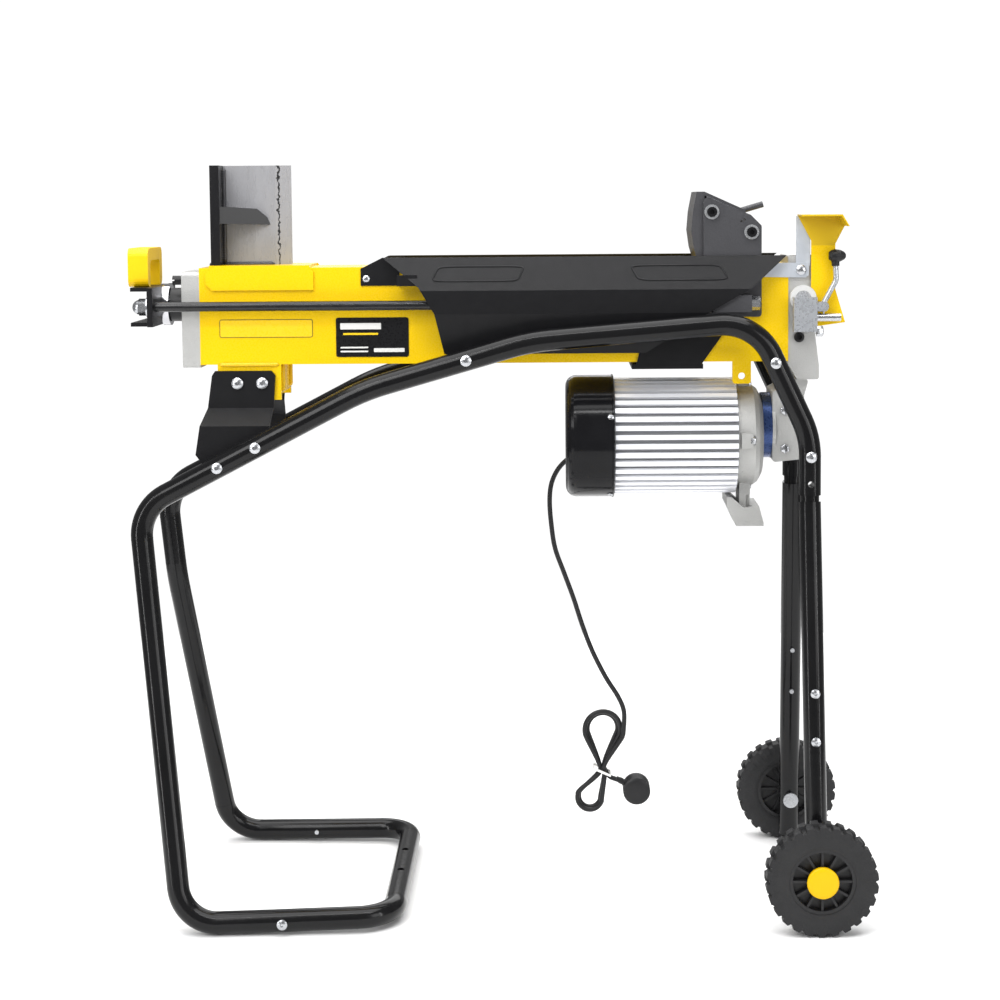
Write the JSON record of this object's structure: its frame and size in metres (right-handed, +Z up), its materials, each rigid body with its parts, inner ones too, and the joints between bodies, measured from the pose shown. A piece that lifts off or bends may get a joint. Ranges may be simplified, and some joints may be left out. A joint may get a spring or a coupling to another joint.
{
  "type": "log splitter",
  "caption": "Horizontal electric hydraulic log splitter: box beam with a fixed wedge, sliding pusher, motor pump, lever valve, bent tube stand and two wheels.",
  "frame": {"origin": "on the floor, under the middle of the machine", "axes": "+X along the beam from the wedge to the valve, +Z up, -Y the side with the control lever"},
  "size_m": [0.9476, 0.414, 0.9616],
  "materials": {
    "yellow_paint": "bright yellow gloss paint",
    "black_tube": "gloss black powder coat",
    "black_sheet": "satin black powder coat on folded sheet",
    "wedge_paint": "gloss black paint over ground steel, with weld beads",
    "pusher_paint": "dark grey satin paint",
    "cast_alu": "rough pale casting",
    "fin_alu": "bright ribbed extrusion",
    "zinc": "bright zinc plate",
    "galvanised": "galvanised sheet",
    "chrome_rod": "hard chrome, ground",
    "dark_rod": "blackened steel bar",
    "steel": "machined steel",
    "fan_cover_paint": "gloss black pressed steel",
    "blue_ring": "blue anodised ring",
    "yellow_plastic": "moulded yellow plastic",
    "black_plastic": "moulded black plastic",
    "white_plastic": "white plastic",
    "green_plastic": "green push button",
    "label_black": "printed film with a plain border",
    "copper": "wound copper and steel laminations",
    "tyre_rubber": "black rubber",
    "rim_plastic": "moulded black rim",
    "cord_rubber": "black rubber mains lead"
  },
  "bodies": {
    "machine": {"beam": "yellow_paint", "front_end_cap": "cast_alu", "front_lugs": "yellow_paint", "side_plate": "label_black", "wedge_back_plate": "wedge_paint", "wedge_blade": "wedge_paint", "wedge_saddle": "yellow_paint", "guards": "black_sheet", "guard_fasteners": "zinc", "beam_saddle": "black_sheet", "cylinder_tube": "steel", "rod_gland": "black_plastic", "valve_block": "cast_alu", "valve_straps": "galvanised", "valve_fitting": "white_plastic", "lever_bracket": "galvanised", "lever_guard": "yellow_paint", "pump_housing": "cast_alu", "pump_ring": "blue_ring", "motor_shield": "cast_alu", "motor_body": "fin_alu", "stator": "copper", "bearings": "chrome_rod", "fan_cover": "fan_cover_paint", "cover_screws": "zinc", "rear_lug": "yellow_paint", "switch_box": "black_plastic", "capacitor": "white_plastic", "cord_gland": "black_plastic", "front_brackets": "black_sheet", "upper_tubes": "black_tube", "front_legs": "black_tube", "foot_loop": "black_tube", "rear_legs": "black_tube", "stand_bolts": "zinc", "cord": "cord_rubber", "cord_hank": "cord_rubber", "cord_tie": "white_plastic", "plug": "black_plastic"},
    "ram": {"crosshead": "black_sheet", "crosshead_grip": "yellow_plastic", "tie_rods": "dark_rod", "tie_nuts": "zinc", "piston_rod": "chrome_rod", "piston": "steel", "pusher": "pusher_paint", "pusher_bolts": "zinc"},
    "lever": {"control_lever": "galvanised", "lever_knob": "black_plastic"},
    "spool": {"valve_spool": "zinc"},
    "button": {"switch_button": "green_plastic"},
    "rotor_set": {"rotor": "steel", "fan": "black_plastic"},
    "driven": {"driven_gear": "steel"},
    "wheel_near": {"tyre_near": "tyre_rubber", "rim_near": "rim_plastic"},
    "wheel_far": {"tyre_far": "tyre_rubber", "rim_far": "rim_plastic"},
    "bleed": {"bleed_screw": "black_plastic"}
  },
  "joints": [
    {"name": "ram_slide", "type": "slide", "parent": "machine", "child": "ram", "axis": [-1, 0, 0], "range_m": [0, 0.37]},
    {"name": "lever_tilt", "type": "hinge", "parent": "machine", "child": "lever", "pos_m": [0.418, -0.059, 0.776], "axis": [0, 1, 0], "range_deg": [-18, 0], "stiffness_Nm_per_rad": 1, "springref_deg": 8.59},
    {"name": "spool_slide", "type": "slide", "parent": "machine", "child": "spool", "axis": [1, 0, 0], "range_m": [0, 0.0045]},
    {"name": "button_push", "type": "slide", "parent": "machine", "child": "button", "axis": [0, -1, 0], "range_m": [0, 0.003], "stiffness_N_per_m": 400, "springref_m": -0.002},
    {"name": "rotor_spin", "type": "hinge", "parent": "machine", "child": "rotor_set", "pos_m": [0.25, 0, 0.604], "axis": [1, 0, 0], "continuous": true},
    {"name": "driven_spin", "type": "hinge", "parent": "machine", "child": "driven", "pos_m": [0.37, 0, 0.63], "axis": [1, 0, 0], "continuous": true},
    {"name": "wheel_near_spin", "type": "hinge", "parent": "machine", "child": "wheel_near", "pos_m": [0.4, -0.19, 0.07], "axis": [0, 1, 0], "continuous": true},
    {"name": "wheel_far_spin", "type": "hinge", "parent": "machine", "child": "wheel_far", "pos_m": [0.4, 0.19, 0.07], "axis": [0, 1, 0], "continuous": true},
    {"name": "bleed_turn", "type": "hinge", "parent": "machine", "child": "bleed", "pos_m": [-0.41, -0.03, 0.814], "axis": [-1, 0, 0], "range_deg": [0, 540]}
  ],
  "couplings": [
    {"joint": "spool_slide", "follows": "lever_tilt", "m_per_rad": -0.014},
    {"joint": "driven_spin", "follows": "rotor_spin", "ratio": -1}
  ]
}
